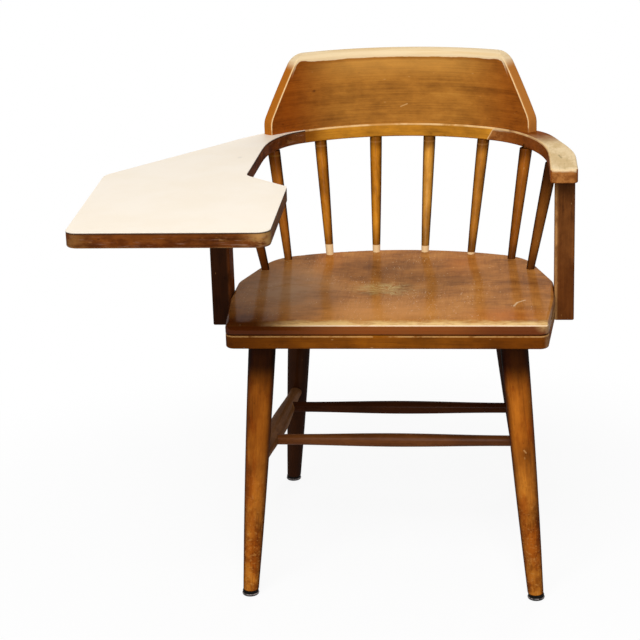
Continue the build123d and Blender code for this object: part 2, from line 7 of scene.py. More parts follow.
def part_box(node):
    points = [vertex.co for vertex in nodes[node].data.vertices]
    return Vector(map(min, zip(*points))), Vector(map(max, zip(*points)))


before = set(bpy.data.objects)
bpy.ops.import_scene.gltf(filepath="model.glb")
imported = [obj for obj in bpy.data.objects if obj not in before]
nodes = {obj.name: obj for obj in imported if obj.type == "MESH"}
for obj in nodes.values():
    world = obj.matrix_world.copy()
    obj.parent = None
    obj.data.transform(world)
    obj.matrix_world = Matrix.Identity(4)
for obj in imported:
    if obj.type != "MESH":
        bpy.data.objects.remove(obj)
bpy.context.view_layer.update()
print("frame loaded:", len(nodes), "nodes")

# Heights and other places that several finishes keep to.
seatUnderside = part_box("seat_base")[0].z
seatSplit, seatRim = (corner.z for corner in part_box("seat_top"))  # underside and rim of the slab
bowUnderside, bowTop = (corner.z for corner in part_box("bow_centre"))
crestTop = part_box("crest_rail")[1].z
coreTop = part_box("tablet_core")[1].z
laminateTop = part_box("tablet_laminate")[1].z
bowAxis = {"x": 0.075, "y": 0.063, "radius": 0.298}     # bow and crest rail are drawn round this upright axis
chairMiddle = Vector((0.075, 0.083, 0))
legPlaces = [(row, side) for row in ("front", "rear") for side in ("left", "right")]

mixSockets = {"factor": 0, "first": 6, "second": 7, "result": 2}  # of a Mix node that mixes colours


def colour(red, green, blue):
    # 0 to 255 as a screen shows them, turned into the shader's linear values
    def linear(value):
        value /= 255
        return value / 12.92 if value <= 0.04045 else ((value + 0.055) / 1.055) ** 2.4
    return (linear(red), linear(green), linear(blue), 1)


class Tree:
    # short calls for building one material's nodes; base is the colour that it has so far

    def __init__(self, name):
        self.material = bpy.data.materials.new(name)
        self.material.use_nodes = True
        self.nodes = self.material.node_tree.nodes
        self.links = self.material.node_tree.links
        self.shader = self.nodes["Principled BSDF"]
        self.output = self.nodes["Material Output"]
        where = self.add("ShaderNodeTexCoord").outputs
        self.spot, self.normal = where["Object"], where["Normal"]
        self.x, self.y, self.z = self.split(self.spot)
        self.normalX, self.normalY, self.normalZ = self.split(self.normal)
        self.directions = {"x": self.x, "y": self.y, "z": self.z, "normalX": self.normalX,
                           "normalY": self.normalY, "normalZ": self.normalZ}
        self.calls = {"rise": self.rise, "stripe": self.stripe, "near": self.near, "line": self.line}

    def plug(self, socket, value):
        if isinstance(value, bpy.types.NodeSocket):
            self.links.new(value, socket)
        else:
            socket.default_value = value

    def add(self, kind, *values, **settings):
        node = self.nodes.new(kind)
        for key, value in settings.items():
            setattr(node, key, value)
        for socket, value in zip(node.inputs, values):
            if value is not None:
                self.plug(socket, value)
        return node

    def math(self, operation, *values, clamp=False):
        return self.add("ShaderNodeMath", *values, operation=operation, use_clamp=clamp).outputs[0]

    def factor(self, place):
        # a place out of a look: patches, a call with its values, or a fade along a direction
        if isinstance(place, dict):
            return self.patches(**place)
        if isinstance(place, tuple):
            name, *values = place
            if name in self.calls:
                return self.calls[name](*values)
            return self.step(self.directions[name], *values)
        return place

    def times(self, *places):
        first, *others = (self.factor(place) for place in places)
        for other in others:
            first = self.math("MULTIPLY", first, other)
        return first

    def total(self, first, *others):
        for other in others:
            first = self.math("ADD", first, other)
        return first

    def split(self, vector):
        return self.add("ShaderNodeSeparateXYZ", vector).outputs

    def join(self, x, y, z):
        return self.add("ShaderNodeCombineXYZ", x, y, z).outputs[0]

    def vector(self, operation, first, second):
        return self.add("ShaderNodeVectorMath", first, second, operation=operation).outputs[0]

    def dot(self, first, second):
        return self.add("ShaderNodeVectorMath", first, second, operation="DOT_PRODUCT").outputs["Value"]

    def length(self, vector):
        return self.add("ShaderNodeVectorMath", vector, operation="LENGTH").outputs["Value"]

    def noise(self, scale, detail=4, roughness=0.6, distortion=0, grain=None):
        # scale is one number, or three for a pattern drawn out along the axes of the piece or of its grain
        vector = self.spot if grain is None else grain
        if isinstance(scale, tuple):
            vector, scale = self.vector("MULTIPLY", vector, scale), 1
        node = self.add("ShaderNodeTexNoise")
        self.plug(node.inputs["Vector"], vector)
        for key, value in (("Scale", scale), ("Detail", detail), ("Roughness", roughness),
                           ("Distortion", distortion)):
            node.inputs[key].default_value = value
        return node.outputs["Fac"]

    def patches(self, limits, low=0, high=1, **pattern):
        # irregular patches: low where the noise is under its first limit, high where it is over the second
        return self.step(self.noise(**pattern), *limits, low, high)

    def spots(self, vector, scale, size, share):
        # round spots in some of the cells: 1 inside a spot, 0 outside
        cells = self.add("ShaderNodeTexVoronoi", feature="F1")
        self.plug(cells.inputs["Vector"], self.vector("MULTIPLY", vector, scale))
        cells.inputs["Scale"].default_value = 1
        inside = self.step(cells.outputs["Distance"], size, size / 2)
        chosen = self.math("LESS_THAN", self.split(cells.outputs["Color"])[0], share)
        return self.times(inside, chosen)

    def step(self, value, start, end, low=0, high=1):
        # a smooth ramp: low at start, high at end
        node = self.add("ShaderNodeMapRange", interpolation_type="SMOOTHSTEP")
        for key, entry in (("Value", value), ("From Min", start), ("From Max", end), ("To Min", low),
                           ("To Max", high)):
            self.plug(node.inputs[key], entry)
        return node.outputs[0]

    def rise(self, level, start, end):
        # the same along Z, between two heights that are given from a level
        return self.step(self.z, level + start, level + end)

    def stripe(self, level, low, high, soft):
        # 1 between two heights given from a level, with soft borders outside them
        return self.times(self.rise(level, low - soft, low), self.rise(level, high + soft, high))

    def near(self, centre, size):
        # 1 in the middle of an oval place on the piece, 0 outside it
        away = self.vector("DIVIDE", self.vector("SUBTRACT", self.spot, centre), size)
        return self.step(self.length(away), 1, 0)

    def line(self, start, end, width, core=0.4):
        # 1 on a thin mark between two points of the surface, full in the core of its width
        start, end = Vector(start), Vector(end)
        axis = end - start
        reach = self.vector("SUBTRACT", self.spot, tuple(start))
        share = self.math("MULTIPLY", self.dot(reach, tuple(axis / axis.length_squared)), 1, clamp=True)
        foot = self.vector("MULTIPLY", self.join(share, share, share), tuple(axis))
        return self.step(self.length(self.vector("SUBTRACT", reach, foot)), width, width * core)

    def ramp(self, value, *stops):
        node = self.add("ShaderNodeValToRGB", value)
        while len(node.color_ramp.elements) < len(stops):
            node.color_ramp.elements.new(0.5)
        for element, (position, tint) in zip(node.color_ramp.elements, stops):
            element.position = position
            element.color = tint
        return node.outputs[0]

    def mix(self, factor, first, second, blend="MIX"):
        node = self.add("ShaderNodeMix", data_type="RGBA", blend_type=blend)
        for key, value in (("factor", factor), ("first", first), ("second", second)):
            self.plug(node.inputs[mixSockets[key]], value)
        return node.outputs[mixSockets["result"]]

    def laid(self, base, tint, amount, *places, blend="MIX"):
        # the base with a tint laid over it where all the places are 1
        return self.mix(self.times(places[0], amount, *places[1:]), base, colour(*tint), blend)

    def cover(self, *layer):
        self.base = self.laid(self.base, *layer)

    def darken(self, *layer):
        # as cover, but the figure of the wood stays to be seen
        self.base = self.laid(self.base, *layer, blend="MULTIPLY")

    def bump(self, height, strength, distance):
        node = self.add("ShaderNodeBump")
        self.plug(node.inputs["Height"], height)
        node.inputs["Strength"].default_value = strength
        node.inputs["Distance"].default_value = distance
        return node.outputs[0]

    def surface(self, rough, others):
        for key, value in {"Base Color": self.base, "Roughness": rough, **others}.items():
            self.plug(self.shader.inputs[key], value)
        return self.material


def alongLine(tree, start, end):
    # grain frame of a straight piece: X runs from start to end, the others lie across it
    start, end = Vector(start), Vector(end)
    turn = (end - start).rotation_difference(Vector((1, 0, 0)))
    mapping = tree.add("ShaderNodeMapping")
    tree.plug(mapping.inputs["Vector"], tree.spot)
    mapping.inputs["Rotation"].default_value = turn.to_euler()
    mapping.inputs["Location"].default_value = -(turn @ start)
    return mapping.outputs[0]


def roundBow(tree):
    # grain frame of a bent piece: X runs round the bow from the middle of the back, Y outwards, Z up
    x = tree.math("SUBTRACT", tree.x, bowAxis["x"])
    y = tree.math("SUBTRACT", tree.y, bowAxis["y"])
    tree.around = tree.times(tree.math("ARCTAN2", x, y), bowAxis["radius"])
    tree.sideways = tree.math("ABSOLUTE", tree.around)
    tree.directions.update({"around": tree.around, "sideways": tree.sideways})
    return tree.join(tree.around, tree.length(tree.join(x, y, 0)), tree.z)


def facingIn(tree):
    # how squarely the surface faces the bow's axis: 1 on the inner face, 0 on top and ends
    x = tree.math("SUBTRACT", bowAxis["x"], tree.x)
    y = tree.math("SUBTRACT", bowAxis["y"], tree.y)
    level = tree.add("ShaderNodeVectorMath", tree.join(x, y, 0), operation="NORMALIZE").outputs[0]
    return tree.dot(tree.normal, level)


# Wood that every piece starts from. Shares and depths run from 0 to 1, scales are per metre.
woodLook = {
    "seed": 0, "seedStep": (0.37, 0.11, 0.23),          # how far a seed moves the pattern
    "figure": 0.35, "mottle": 0.45, "fibre": 0.2,       # shares of the broad bands, the stain and the fibres
    "figureScale": (3, 38, 38), "mottleScale": (18, 34, 34), "fibreScale": (16, 480, 480),
    "contrast": 0.18,                                   # the smaller it is, the stronger the figure
    "pores": 0.45, "poreScale": (90, 1500, 1500), "poreLimits": (0.6, 0.74),
    "marks": 0.12, "markSize": (48, 95, 95), "markRadius": 0.17, "markDepth": 0.5,
    "flecks": 0.05, "fleckSize": (70, 190, 190), "fleckRadius": 0.2, "fleckDepth": 0.45,
    "fleckTint": (206, 160, 100), "fleckShift": (0.31, 0.17, 0.05),
    "flank": 0, "flankShadeTint": (92, 78, 66), "flankLimits": (0.92, 0.25),  # painted shade on the flanks of a turned piece
    "rough": 0.42, "roughSpread": 0.07, "mottleLimits": (0.3, 0.7),
    "specular": 0, "coat": 0.05, "coatRough": 0.22,
    "bump": 0.22, "bumpDepth": 0.0006, "fibreRelief": 0.35, "poreRelief": 0.3, "markRelief": -0.5,
}


def stained(middle, deep=0.58, high=1.24):
    # a stain's dark, middle and light colours: the dark one turns redder, the light one yellower
    darker = (deep, deep - 0.05, deep - 0.08)
    lighter = (high, high + 0.08, high + 0.2)
    return {"middle": colour(*middle),
            "dark": colour(*(value * share for value, share in zip(middle, darker))),
            "light": colour(*(min(255, value * share) for value, share in zip(middle, lighter)))}


def wood(tree, grain, look):
    # stained and lacquered wood: figure, fibres, mottled stain, pores, dark nicks and pale rubs, with painted
    # shade down the flanks of turned pieces
    grain = tree.vector("ADD", grain, tuple(look["seed"] * step for step in look["seedStep"]))
    figure = tree.noise(look["figureScale"], distortion=0.4, grain=grain)
    fibres = tree.noise(look["fibreScale"], detail=3, grain=grain)
    tree.mottle = tree.noise(look["mottleScale"], detail=5, roughness=0.62, grain=grain)
    tone = tree.total(tree.times(figure, look["figure"]), tree.times(tree.mottle, look["mottle"]),
                      tree.times(fibres, look["fibre"]))
    spread = look["contrast"]
    tones = ((0.5 - spread, look["dark"]), (0.5, look["middle"]), (0.5 + spread, look["light"]))
    tree.base = tree.ramp(tone, *tones)
    pores = tree.noise(look["poreScale"], detail=2, roughness=0.5, grain=grain)
    inPore = tree.step(pores, *look["poreLimits"], 0, look["pores"])
    tree.base = tree.mix(inPore, tree.base, look["dark"])
    marks = tree.spots(grain, look["markSize"], look["markRadius"], look["marks"])
    tree.base = tree.mix(tree.times(marks, look["markDepth"]), tree.base, look["dark"])
    shifted = tree.vector("ADD", grain, look["fleckShift"])
    flecks = tree.spots(shifted, look["fleckSize"], look["fleckRadius"], look["flecks"])
    tree.cover(look["fleckTint"], look["fleckDepth"], flecks)
    # painted shade where a turned piece faces sideways
    if look["flank"]:
        flank = tree.step(tree.math("ABSOLUTE", tree.normalY), *look["flankLimits"])
        tree.darken(look["flankShadeTint"], look["flank"], flank)
    tree.height = tree.total(tree.times(fibres, look["fibreRelief"]), tree.times(pores, look["poreRelief"]),
                             tree.times(marks, look["markRelief"]))


def lacquer(tree, look):
    low, high = look["rough"] - look["roughSpread"], look["rough"] + look["roughSpread"]
    return tree.surface(tree.step(tree.mottle, *look["mottleLimits"], low, high), {
        "Coat Weight": look["coat"], "Coat Roughness": look["coatRough"],
        "Specular IOR Level": look["specular"],
        "Normal": tree.bump(tree.height, look["bump"], look["bumpDepth"]),
    })


def plainWood(name, grain, look):
    # a piece with nothing on it but its wood: grain is None or the two ends of a straight grain
    tree = Tree(name)
    wood(tree, alongLine(tree, *grain) if grain else tree.spot, look)
    return lacquer(tree, look)


def dress(node, material):
    for slot in nodes[node].material_slots:
        slot.material = material


# In the looks that follow, a tint in brackets stands with the share of it that is laid on, and often with
# the places where it lies, as Tree.factor takes them: a pattern, which is a noise with the two limits of its
# patches; a fade, which names a direction and where it begins and is full; or a call of Tree with its values.
# A step runs between two limits of a noise, and may add the two values that it runs between. A rise is two
# heights, and a stripe two heights and its soft border, all given from a level.

# Legs.
legLook = {
    "front": {**woodLook, **stained((168, 98, 30)), "flank": 0.85, "mottle": 0.5, "marks": 0.24,
              "contrast": 0.17, "fleckDepth": 0.4, "flecks": 0.09, "markSize": (90, 150, 150)},
    # the rear legs' dark stain is partly painted shade under the seat
    "rear": {**woodLook, **stained((58, 29, 12)), "flank": 0.4},
    "axis": {                                           # foot and top of a right leg, from the chair's middle
        "front": ((0.22, -0.2155, 0), (0.1855, -0.2125, seatUnderside)),
        "rear": ((0.205, 0.251, 0), (0.163, 0.118, seatUnderside)),
    },
    # painted shadow under the seat
    "seatShadowTint": (66, 54, 50), "seatShadowShare": {"front": 0.97, "rear": 0.5},
    "seatShadowPlace": ("rise", seatUnderside, -0.078, -0.03),
    # what only the front legs have
    "upper": {"left": ((214, 200, 180), 1), "right": ((242, 228, 206), 1)},
    "upperFade": ("z", 0.19, 0.27),
    "red": ((216, 180, 148), 0.8, {"scale": (30, 30, 13), "limits": (0.46, 0.64)}),
    "lowFade": ("z", 0.27, 0.08),                       # the lower leg is more worn
    "blotch": ((198, 180, 160), 0.8,
               {"scale": (80, 80, 60), "detail": 6, "roughness": 0.7, "limits": (0.46, 0.6)}),
    "rub": ((196, 138, 70), 0.45, {"scale": (210, 210, 260), "roughness": 0.65, "limits": (0.55, 0.66)}),
    "scratch": ((204, 152, 92), 0.6), "scratchWidth": 0.0016,
    "scratches": {
        "left": (((-0.1345, -0.149, 0.1725), (-0.1325, -0.149, 0.166)),
                 ((-0.129, -0.149, 0.148), (-0.125, -0.149, 0.142))),
        "right": (((0.262, -0.149, 0.258), (0.266, -0.149, 0.25)),
                  ((0.276, -0.149, 0.248), (0.279, -0.149, 0.244))),
    },
}


def onSide(point, side):
    # a point given for the right of the chair, put on its side and into the part's frame
    sign = -1 if side == "left" else 1
    return Vector((sign * point[0], point[1], point[2])) + chairMiddle


def wornLeg(tree, side):
    tree.darken(*legLook["upper"][side], legLook["upperFade"])
    tree.darken(*legLook["red"])
    tree.darken(*legLook["blotch"], legLook["lowFade"])
    tree.cover(*legLook["rub"], legLook["lowFade"])
    for start, end in legLook["scratches"][side]:
        tree.cover(*legLook["scratch"], tree.line(start, end, legLook["scratchWidth"]))


def legMaterial(row, side, seed):
    tree = Tree("leg_wood_" + row + "_" + side)
    foot, top = (onSide(point, side) for point in legLook["axis"][row])
    look = {**legLook[row], "seed": seed}
    wood(tree, alongLine(tree, foot, top), look)
    if row == "front":
        wornLeg(tree, side)
    # painted shadow under the seat
    tree.darken(legLook["seatShadowTint"], legLook["seatShadowShare"][row], legLook["seatShadowPlace"])
    return lacquer(tree, look)


for seed, (row, side) in enumerate(legPlaces, start=1):
    dress("leg_" + row + "_" + side, legMaterial(row, side, seed))

# Stretchers.
stretcherLook = {
    "side": {**woodLook, **stained((120, 78, 44)), "rough": 0.4},
    # the cross stretchers' darker stains are partly painted shade under the seat
    "front": {**woodLook, **stained((102, 56, 23)), "rough": 0.4, "coat": 0.16, "coatRough": 0.3},
    "rear": {**woodLook, **stained((62, 30, 12)), "rough": 0.42},
}
for seed, side in enumerate(("left", "right"), start=7):
    name = "side_stretcher_" + side
    low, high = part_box(name)
    middleX = (low.x + high.x) / 2
    ends = ((middleX, high.y, low.z), (middleX, low.y, high.z))
    dress(name, plainWood("stretcher_wood_" + side, ends, {**stretcherLook["side"], "seed": seed}))
for seed, row in enumerate(("front", "rear"), start=11):
    name = "cross_stretcher_" + row
    low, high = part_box(name)
    ends = (low, (high.x, low.y, low.z))
    dress(name, plainWood("stretcher_wood_" + row, ends, {**stretcherLook[row], "seed": seed}))
print("legs and stretchers finished")

# Spindles, numbered from the left as the chair is seen from its front.
spindleLook = {
    "wood": {**woodLook, "flank": 0.95, "rough": 0.36, "marks": 0.16, "contrast": 0.17},
    # spindle 1, under the tablet, has a darker stain that is partly painted shade
    "stains": {1: (130, 68, 18), 2: (170, 98, 28), 3: (176, 106, 24), 4: (194, 122, 28), 5: (198, 134, 50),
               6: (180, 114, 36), 7: (158, 90, 24), 8: (122, 70, 22)},
    "seedStep": 1.7,
    "rubbed": 5, "rub": ((222, 196, 150), 0.5, ("normalY", -0.8, -0.97)),  # a pale rub down one front, which is also a painted highlight
    "rubHighlightPattern": {"scale": (26, 60, 60), "detail": 3, "limits": (0.44, 0.56)},
    # painted shade under the bow at the top of each spindle, longer on some
    "head": ((112, 92, 76), 0.75), "headShade": 0.026, "longShades": {2: 0.05, 8: 0.085},
    "headFull": 0.2,                                    # the shade is full in this share of its length
    "rims": {2: (150, 118, 50), **{number: (196, 140, 76) for number in (3, 4, 5, 6)}},
    "rimShare": 0.2, "rimPlace": ("stripe", bowUnderside, -0.0085, -0.0073, 0.0012),  # thin lines
    "foot": ((118, 100, 88), 0.6, ("rise", seatRim, 0.05, 0)),
    "bare": ((232, 196, 146), 0.95),
    "bareFeet": {3: 0.0155, 4: 0.0105, 5: 0.009, 6: 0.003},  # bare wood above the seat
    "bareRise": (0.0006, -0.0002),
}


def spindleGrain(tree, number):
    low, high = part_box("spindle_" + str(number))
    leansRight = number > len(spindleLook["stains"]) / 2
    start = Vector((low.x if leansRight else high.x, low.y, low.z))
    end = Vector((high.x if leansRight else low.x, high.y, high.z))
    return alongLine(tree, start, end)


def spindleMaterial(number):
    values = spindleLook
    look = {**values["wood"], **stained(values["stains"][number]), "seed": number * values["seedStep"]}
    tree = Tree("spindle_wood_" + str(number))
    grain = spindleGrain(tree, number)
    wood(tree, grain, look)
    if number == values["rubbed"]:
        # a pale rub with a painted highlight down the front
        tree.cover(*values["rub"], tree.patches(**values["rubHighlightPattern"], grain=grain))
    shade = values["longShades"].get(number, values["headShade"])
    # painted shade under the bow
    tree.darken(*values["head"], tree.rise(bowUnderside, -shade, -shade * values["headFull"]))
    if number in values["rims"]:
        tree.cover(values["rims"][number], values["rimShare"], values["rimPlace"])
    tree.darken(*values["foot"])
    if number in values["bareFeet"]:
        bare = tree.rise(seatRim + values["bareFeet"][number], *values["bareRise"])
        tree.cover(*values["bare"], bare)
    return lacquer(tree, look)


for number in spindleLook["stains"]:
    dress("spindle_" + str(number), spindleMaterial(number))
print("spindles finished")

# Seat slab. A pale grey painted reflection lies on the right end of the seat's upright side, on both layers.
endReflectionLook = {"tint": (176, 138, 98), "places": (("normalX", 0.45, 0.85), ("x", 0.26, 0.31), ("y", 0.02, -0.06))}
seatLook = {
    **woodLook, **stained((184, 120, 56), 0.66, 1.14),
    "rough": 0.4, "coat": 0.13, "coatRough": 0.14, "bump": 0.1, "mottle": 0.55, "figure": 0.2,
    "figureScale": (4, 26, 1), "mottleScale": (16, 22, 1), "fibreScale": (30, 420, 1),
    "marks": 0.1, "markSize": (60, 60, 1), "markDepth": 0.35, "pores": 0.25,
    "flecks": 0.16, "fleckSize": (120, 80, 1), "fleckTint": (226, 186, 130), "fleckDepth": 0.5,
    # greyer to the left, with clouds and fine hairs from front to rear
    "left": ((236, 236, 216), 0.9, ("x", 0.02, -0.15)),
    "cloudPattern": {"scale": (24, 30, 1), "limits": (0.3, 0.62), "low": 0.45},
    "hair": ((222, 214, 206), 0.6, {"scale": (300, 22, 1), "roughness": 0.65, "limits": (0.44, 0.66)}),
    # places with a tone of their own, darker ones of painted reflection haze and shade, lighter patches, and
    # painted shade at the left front: centre and half sizes along x and y, tint, share
    "hazes": (
        ((0.063, 0.15), (0.13, 0.085), (176, 176, 204), 0.85),
        ((-0.085, 0.03), (0.075, 0.12), (220, 224, 216), 0.4),
        ((-0.136, -0.115), (0.06, 0.05), (186, 170, 150), 0.8),
        ((0.105, 0.06), (0.16, 0.1), (206, 212, 224), 0.8),
    ),
    "glows": (
        ((-0.095, 0.02), (0.12, 0.19), (192, 148, 106), 0.95),
        ((0.248, -0.115), (0.085, 0.06), (204, 110, 30), 0.55),
        ((0.07, -0.095), (0.22, 0.08), (214, 146, 76), 0.75),
        ((-0.04, 0.19), (0.035, 0.12), (200, 116, 34), 0.5),
        ((0.18, 0.17), (0.045, 0.11), (196, 112, 34), 0.45),
    ),
    "shades": (
        ((-0.165, -0.145), (0.125, 0.06), (128, 84, 58), 0.9),
        ((-0.12, -0.16), (0.08, 0.028), (140, 96, 66), 0.7),
    ),
    "placeDepth": 0.04,                                 # half their size along z
    # the worn patch in the middle
    "patch": ((206, 182, 118), 0.85), "patchBend": {"scale": (30, 30, 1), "detail": 3},
    "patchCentre": (0.0665, 0.0377, 0.4415), "patchSize": (0.07, 0.05, 0.02),
    "patchTurns": 2.6, "patchLengths": 1.6,             # how fine the rubs are, round the patch and outwards
    "patchRays": {"scale": 1.6, "roughness": 0.75, "limits": (0.42, 0.56)},
    "patchRubs": {"scale": (80, 130, 1), "roughness": 0.7, "limits": (0.34, 0.58), "low": 0.25},
    "patchFade": (1, 0.2), "patchRight": (0.05, 0.6, 1, 0.45),
    # scuffs and one longer scratch
    "scuffTint": (234, 204, 160), "scuffShare": 0.6, "scratchShare": 0.7,
    "scuffPattern": {"scale": (420, 90, 1), "detail": 1, "roughness": 0.4, "distortion": 2,
                     "limits": (0.67, 0.74)},
    "scuffAreas": {"scale": (16, 16, 1), "detail": 2, "roughness": 0.5, "limits": (0.46, 0.6)},
    "scratchPoints": ((0.261, -0.07, seatRim), (0.266, -0.052, seatRim), (0.278, -0.039, seatRim)),
    "scratchWidth": 0.002,
    # the front edge, rubbed through to the wood
    "wornTint": (236, 196, 128), "wornShare": 0.95,
    "wornFade": (-0.121, -0.139), "wornLeft": ("x", -0.118, -0.048),
    "wornRagged": {"scale": (42, 60, 1)}, "wornReach": 0.03,
    "wornPattern": {"scale": (46, 130, 1), "detail": 5, "roughness": 0.68,
                    "limits": (0.36, 0.58), "low": 0.4},
    "cornerShare": 0.45, "cornerPlace": ("near", (0.303, -0.158, 0.4435), (0.016, 0.022, 0.01)),
    # the rolled nose keeps its stain below a thin line that is rubbed and carries a painted highlight
    "nose": (130, 66, 22), "noseFacing": (0.8, 0.7), "noseTop": 0.4446,
    "noseRise": (0.0004, -0.0004), "rollFade": (-0.148, -0.154),
    "noseStreaks": {"scale": (24, 24, 300), "limits": (0.34, 0.66), "low": 0.62},
    "noseLeft": ((156, 136, 124), 0.9, ("x", 0.03, -0.12)),
    "noseRight": ((204, 190, 200), 0.9, ("x", 0.16, 0.24)),
    "line": ((250, 222, 190), 0.9, ("x", -0.09, -0.01)), "lineStripe": (0.0003, 0.0007, 0.0005),
    "brokenPattern": {"scale": (40, 40, 40), "limits": (0.3, 0.46), "low": 0.5},
    # the right end with its painted reflection, and a painted shadow along the seam over the base
    "end": (endReflectionLook["tint"], 0.5, *endReflectionLook["places"]),
    "groove": ((34, 18, 10), 0.9, ("rise", seatSplit, 0.0026, 0.0014)),
}


def seatTones(tree, look):
    # tone from place to place: greyer to the left, fine hairs, darker places of painted reflection haze and
    # shade, lighter patches, and painted shade at the left front
    tree.darken(*look["left"])
    cloud = tree.patches(**look["cloudPattern"])
    tree.darken(*look["hair"], cloud)
    for places, lay, strength in (("hazes", tree.darken, cloud), ("glows", tree.cover, cloud),
                                  ("shades", tree.darken, 1)):
        for centre, size, tint, share in look[places]:
            spot = tree.near((*centre, seatRim), (*size, look["placeDepth"]))
            lay(tint, share, spot, strength)


def wornPatch(tree, look):
    # short rubs that radiate, bent and broken up
    offset = tree.vector("DIVIDE", tree.vector("SUBTRACT", tree.spot, look["patchCentre"]), look["patchSize"])
    away = tree.length(offset)
    x, y = tree.split(offset)[:2]
    turn = tree.total(tree.math("ARCTAN2", y, x), tree.noise(**look["patchBend"]))
    spokes = tree.join(tree.times(turn, look["patchTurns"]), tree.times(away, look["patchLengths"]), 0)
    return tree.times(tree.step(away, *look["patchFade"]), tree.patches(**look["patchRays"], grain=spokes),
                      tree.step(x, *look["patchRight"]), look["patchRubs"])


def seatScuffs(tree, look):
    tree.cover(look["scuffTint"], look["scuffShare"], look["scuffPattern"], look["scuffAreas"])
    points = look["scratchPoints"]
    for start, end in zip(points, points[1:]):
        scratch = tree.line(start, end, look["scratchWidth"])
        tree.cover(look["scuffTint"], look["scratchShare"], scratch)


def wornFront(tree, look):
    # the front edge, with a ragged rear limit
    ragged = tree.math("MULTIPLY_ADD", tree.noise(**look["wornRagged"]), look["wornReach"], tree.y)
    return tree.times(tree.step(ragged, *look["wornFade"]), look["wornLeft"])


def seatNose(tree, look, broken):
    streaks = tree.patches(**look["noseStreaks"])
    stain = tree.mix(streaks, look["dark"], colour(*look["nose"]))
    for side in ("noseLeft", "noseRight"):
        stain = tree.laid(stain, *look[side], blend="MULTIPLY")
    atFront = tree.step(tree.y, *look["rollFade"])
    rolled = tree.times(atFront, tree.rise(look["noseTop"], *look["noseRise"]))
    nose = tree.math("MAXIMUM", tree.step(tree.normalZ, *look["noseFacing"]), rolled)
    tree.base = tree.mix(nose, tree.base, stain)
    # a thin line along the top of the roll: rubbed, with a painted highlight
    line = tree.times(atFront, tree.stripe(look["noseTop"], *look["lineStripe"]))
    tree.cover(*look["line"], line, broken)


def seatMaterial():
    look = seatLook
    tree = Tree("seat_wood")
    wood(tree, tree.spot, look)
    patchy = tree.patches(**look["wornPattern"])
    broken = tree.patches(**look["brokenPattern"])
    seatTones(tree, look)
    tree.cover(*look["patch"], wornPatch(tree, look))
    seatScuffs(tree, look)
    tree.cover(look["wornTint"], look["wornShare"], wornFront(tree, look), patchy)
    seatNose(tree, look, broken)
    tree.cover(look["wornTint"], look["cornerShare"], look["cornerPlace"], patchy)
    # painted reflection on the right end
    tree.cover(*look["end"], broken)
    # painted shadow along the seam over the base
    tree.cover(*look["groove"])
    return lacquer(tree, look)


dress("seat_top", seatMaterial())

# Seat base, under the slab.
seatBaseLook = {
    **woodLook, **stained((128, 70, 12)), "fibreScale": (14, 620, 620), "seed": 3.3,
    "left": ((186, 172, 160), 0.9, ("x", 0.02, -0.12)),
    "right": ((216, 204, 196), 0.9, ("x", 0.16, 0.24)),
    # a thin pale line along the base's top edge: painted highlight
    "edge": ((226, 176, 110), 0.55, ("stripe", seatSplit, -0.002, -0.0014, 0.001)),
    "brokenPattern": {"scale": (25, 25, 25), "limits": (0.36, 0.5)},
    # painted reflection on the right end
    "end": (endReflectionLook["tint"], 0.4, *endReflectionLook["places"]),
    "under": ((120, 96, 80), 0.8, ("rise", seatUnderside, 0.002, 0)),
}


def seatBaseMaterial():
    look = seatBaseLook
    tree = Tree("seat_base_wood")
    wood(tree, tree.spot, look)
    tree.darken(*look["left"])
    tree.darken(*look["right"])
    broken = tree.patches(**look["brokenPattern"])
    # painted highlight along the top edge
    tree.cover(*look["edge"], broken)
    # painted reflection on the right end
    tree.cover(*look["end"], broken)
    tree.darken(*look["under"])
    return lacquer(tree, look)


dress("seat_base", seatBaseMaterial())
print("seat finished")

# Bow and right arm.
edgeLook = {
    # the inner top edge of both, rubbed pale, and the line of glue between them
    "place": ("rise", bowTop, -0.0032, -0.002), "facing": (0.04, 0.2),
    "flickerNoise": {"scale": 40}, "flickerStep": (0.3, 0.5, 0.25, 1),
    "broadPattern": {"scale": (11, 11, 11), "detail": 3, "limits": (0.4, 0.56), "low": 0.35},
    "rubTint": (240, 202, 144),
    "joint": ((240, 198, 136), 0.95), "jointAngle": 31.5, "jointSlant": 31, "jointFade": (0.0014, 0.0008),
}
bowLook = {
    **woodLook, **stained((202, 136, 40)), "contrast": 0.22, "seed": 5.1,
    "left": ((150, 118, 96), 0.8, ("around", -0.12, -0.17)),
    "rubShare": 0.85,
}
armLook = {
    **woodLook, **stained((138, 74, 24)), "seed": 6.4,
    # the lacquer is gone from the top towards the front
    "bareTint": (243, 217, 172), "bareFade": (0.275, 0.18), "bareReach": 0.05,
    "bareFacing": ("normalZ", 0.45, 0.75),
    "stainTint": (219, 189, 138), "stainNoise": {"scale": (30, 14, 30), "roughness": 0.65},
    "stainStep": (0.4, 0.64),
    "streak": ((176, 148, 96), 0.4, {"scale": (260, 16, 60), "detail": 3, "limits": (0.54, 0.72)}),
    "mark": ((128, 112, 66), 0.5, ("line", (0.33, 0.086, bowTop), (0.3335, 0.064, bowTop), 0.0022)),
    "markStep": (0.3, 0.5),
    "rubShare": 0.75,
    # the front end
    "frontShare": 0.85, "frontFacing": (-0.6, -0.9), "frontTint": (176, 116, 60), "frontDark": (132, 78, 34),
    "blotchNoise": {"scale": (90, 90, 90), "roughness": 0.65}, "blotchStep": (0.4, 0.62),
    "lipShare": 0.85, "lipFade": (-0.003, 0.001), "lipReach": 0.006,
}


def edgeFlicker(tree):
    return tree.noise(**edgeLook["flickerNoise"])


def rubbedEdge(tree, flicker):
    return tree.times(edgeLook["place"], tree.step(facingIn(tree), *edgeLook["facing"]),
                      tree.step(flicker, *edgeLook["flickerStep"]), edgeLook["broadPattern"])


